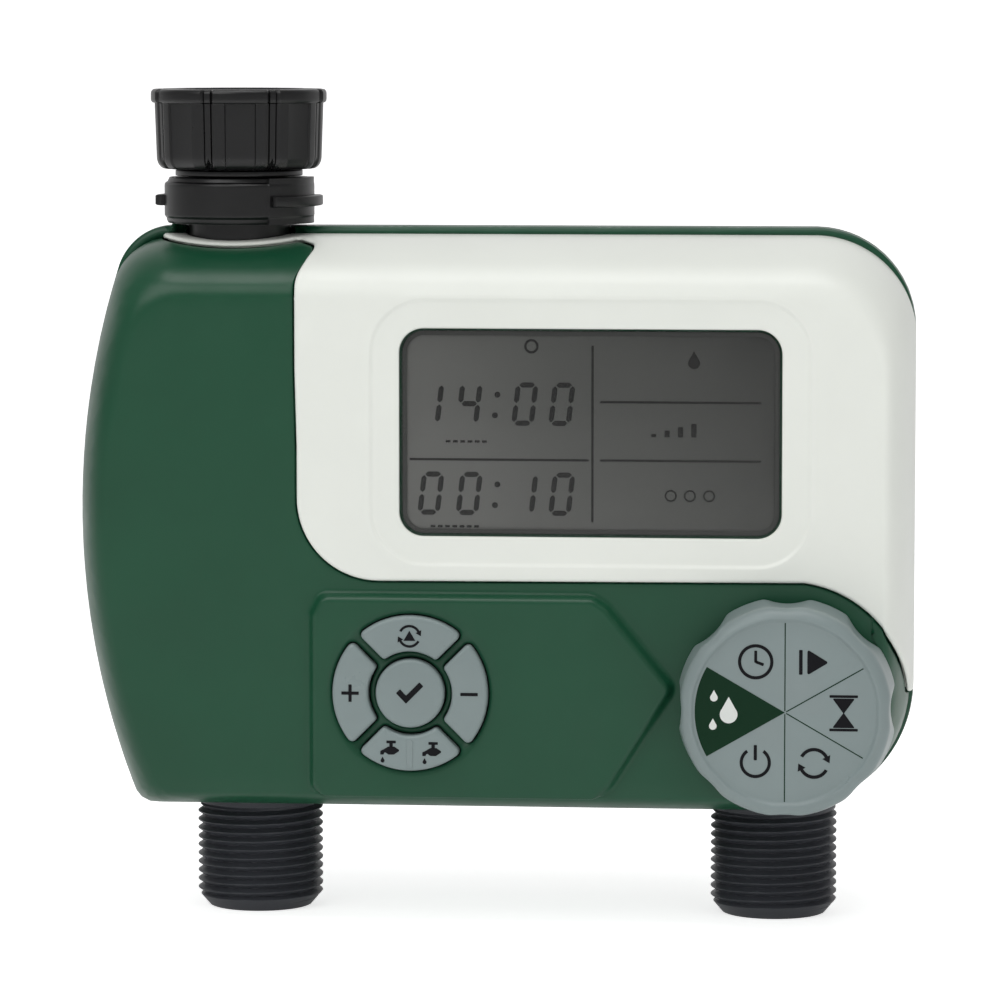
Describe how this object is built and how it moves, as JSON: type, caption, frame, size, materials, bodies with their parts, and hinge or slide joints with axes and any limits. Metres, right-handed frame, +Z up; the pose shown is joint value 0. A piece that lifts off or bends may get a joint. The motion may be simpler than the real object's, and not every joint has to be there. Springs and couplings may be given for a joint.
{
  "type": "irrigation controller",
  "caption": "Battery irrigation controller for a hose tap: threaded swivel inlet, display, push keys, selector dial and two threaded outlets behind solenoid valves.",
  "frame": {"origin": "centre of the inlet washer's upper face, on the inlet axis, where the tap's spout seals", "axes": "+Z up along the inlet axis towards the tap, -Y out of the front panel, +X to the viewer's right"},
  "size_m": [0.1754, 0.0664, 0.1725],
  "materials": {
    "green_plastic": "satin moulded",
    "white_plastic": "semi-gloss moulded",
    "grey_plastic": "satin moulded",
    "black_plastic": "satin moulded",
    "black_nylon": "matte glass-filled",
    "seal_rubber": "matte",
    "silicone": "matte",
    "filter_mesh": "fine mesh",
    "window_glass": "clear pane",
    "lcd": "display glass, reflective grey",
    "natural_plastic": "natural",
    "circuit": "solder mask",
    "switch_plastic": "moulded",
    "steel": "bright",
    "winding": "enamelled copper wire",
    "cell_jacket": "printed metal jacket",
    "brass": "bright",
    "lead_insulation": "flexible insulation"
  },
  "bodies": {
    "case": {"inlet_washer": "seal_rubber", "inlet_filter": "filter_mesh", "inlet_tailpiece": "black_plastic", "tailpiece_seal": "seal_rubber", "manifold": "black_nylon", "manifold_seals": "seal_rubber", "valve_body_left": "black_nylon", "valve_body_right": "black_nylon", "outlet_left": "black_plastic", "outlet_right": "black_plastic", "outlet_seals": "seal_rubber", "diaphragm_left": "seal_rubber", "diaphragm_right": "seal_rubber", "bonnet_left": "black_nylon", "bonnet_right": "black_nylon", "bonnet_screws": "steel", "coil_left": "winding", "coil_right": "winding", "plunger_spring_left": "steel", "plunger_spring_right": "steel", "coil_leads": "lead_insulation", "front_housing": "green_plastic", "front_fascia": "white_plastic", "rear_housing": "green_plastic", "case_seal": "seal_rubber", "case_screws": "steel", "display_lens": "window_glass", "display_frame": "natural_plastic", "display_glass": "lcd", "circuit_board": "circuit", "board_screws": "steel", "tact_switches": "switch_plastic", "lead_connectors": "natural_plastic", "rotary_switch": "switch_plastic", "keypad_mat": "silicone", "dial_seal": "seal_rubber", "bay_terminals": "brass", "battery_lead": "lead_insulation"},
    "nut": {"inlet_nut": "black_plastic"},
    "collar": {"union_collar": "black_plastic"},
    "dial": {"dial": "grey_plastic", "dial_spindle": "steel"},
    "key_cycle": {"key_cycle": "grey_plastic"},
    "key_plus": {"key_plus": "grey_plastic"},
    "key_minus": {"key_minus": "grey_plastic"},
    "key_confirm": {"key_confirm": "grey_plastic"},
    "key_valves": {"key_valves": "grey_plastic"},
    "plunger_left": {"plunger_left": "steel"},
    "plunger_right": {"plunger_right": "steel"},
    "battery_drawer": {"battery_door": "green_plastic", "battery_tray": "black_nylon", "battery_cells": "cell_jacket", "battery_contacts": "steel", "door_gasket": "seal_rubber"}
  },
  "joints": [
    {"name": "nut_spin", "type": "hinge", "parent": "case", "child": "nut", "pos_m": [0, 0, 0], "axis": [0, 0, 1], "continuous": true},
    {"name": "collar_turn", "type": "hinge", "parent": "case", "child": "collar", "pos_m": [0, 0, -0.0122], "axis": [0, 0, 1], "range_deg": [0, 60]},
    {"name": "dial_turn", "type": "hinge", "parent": "case", "child": "dial", "pos_m": [0.1165, -0.03, -0.1144], "axis": [0, -1, 0], "continuous": true},
    {"name": "key_cycle_press", "type": "slide", "parent": "case", "child": "key_cycle", "axis": [0, 1, 0], "range_m": [0, 0.0008], "stiffness_N_per_m": 400, "springref_m": -0.0005},
    {"name": "key_plus_press", "type": "slide", "parent": "case", "child": "key_plus", "axis": [0, 1, 0], "range_m": [0, 0.0008], "stiffness_N_per_m": 400, "springref_m": -0.0005},
    {"name": "key_minus_press", "type": "slide", "parent": "case", "child": "key_minus", "axis": [0, 1, 0], "range_m": [0, 0.0008], "stiffness_N_per_m": 400, "springref_m": -0.0005},
    {"name": "key_confirm_press", "type": "slide", "parent": "case", "child": "key_confirm", "axis": [0, 1, 0], "range_m": [0, 0.0008], "stiffness_N_per_m": 400, "springref_m": -0.0005},
    {"name": "key_valves_rock", "type": "hinge", "parent": "case", "child": "key_valves", "pos_m": [0.0391, -0.0275, -0.1239], "axis": [0, 0, 1], "range_deg": [-3, 3], "stiffness_Nm_per_rad": 0.05},
    {"name": "plunger_left_lift", "type": "slide", "parent": "case", "child": "plunger_left", "axis": [0, 1, 0], "range_m": [0, 0.0025], "stiffness_N_per_m": 150, "springref_m": -0.002, "deforming": ["plunger_spring_left"]},
    {"name": "plunger_right_lift", "type": "slide", "parent": "case", "child": "plunger_right", "axis": [0, 1, 0], "range_m": [0, 0.0025], "stiffness_N_per_m": 150, "springref_m": -0.002, "deforming": ["plunger_spring_right"]},
    {"name": "battery_drawer_slide", "type": "slide", "parent": "case", "child": "battery_drawer", "axis": [0, 1, 0], "range_m": [0, 0.03]}
  ]
}
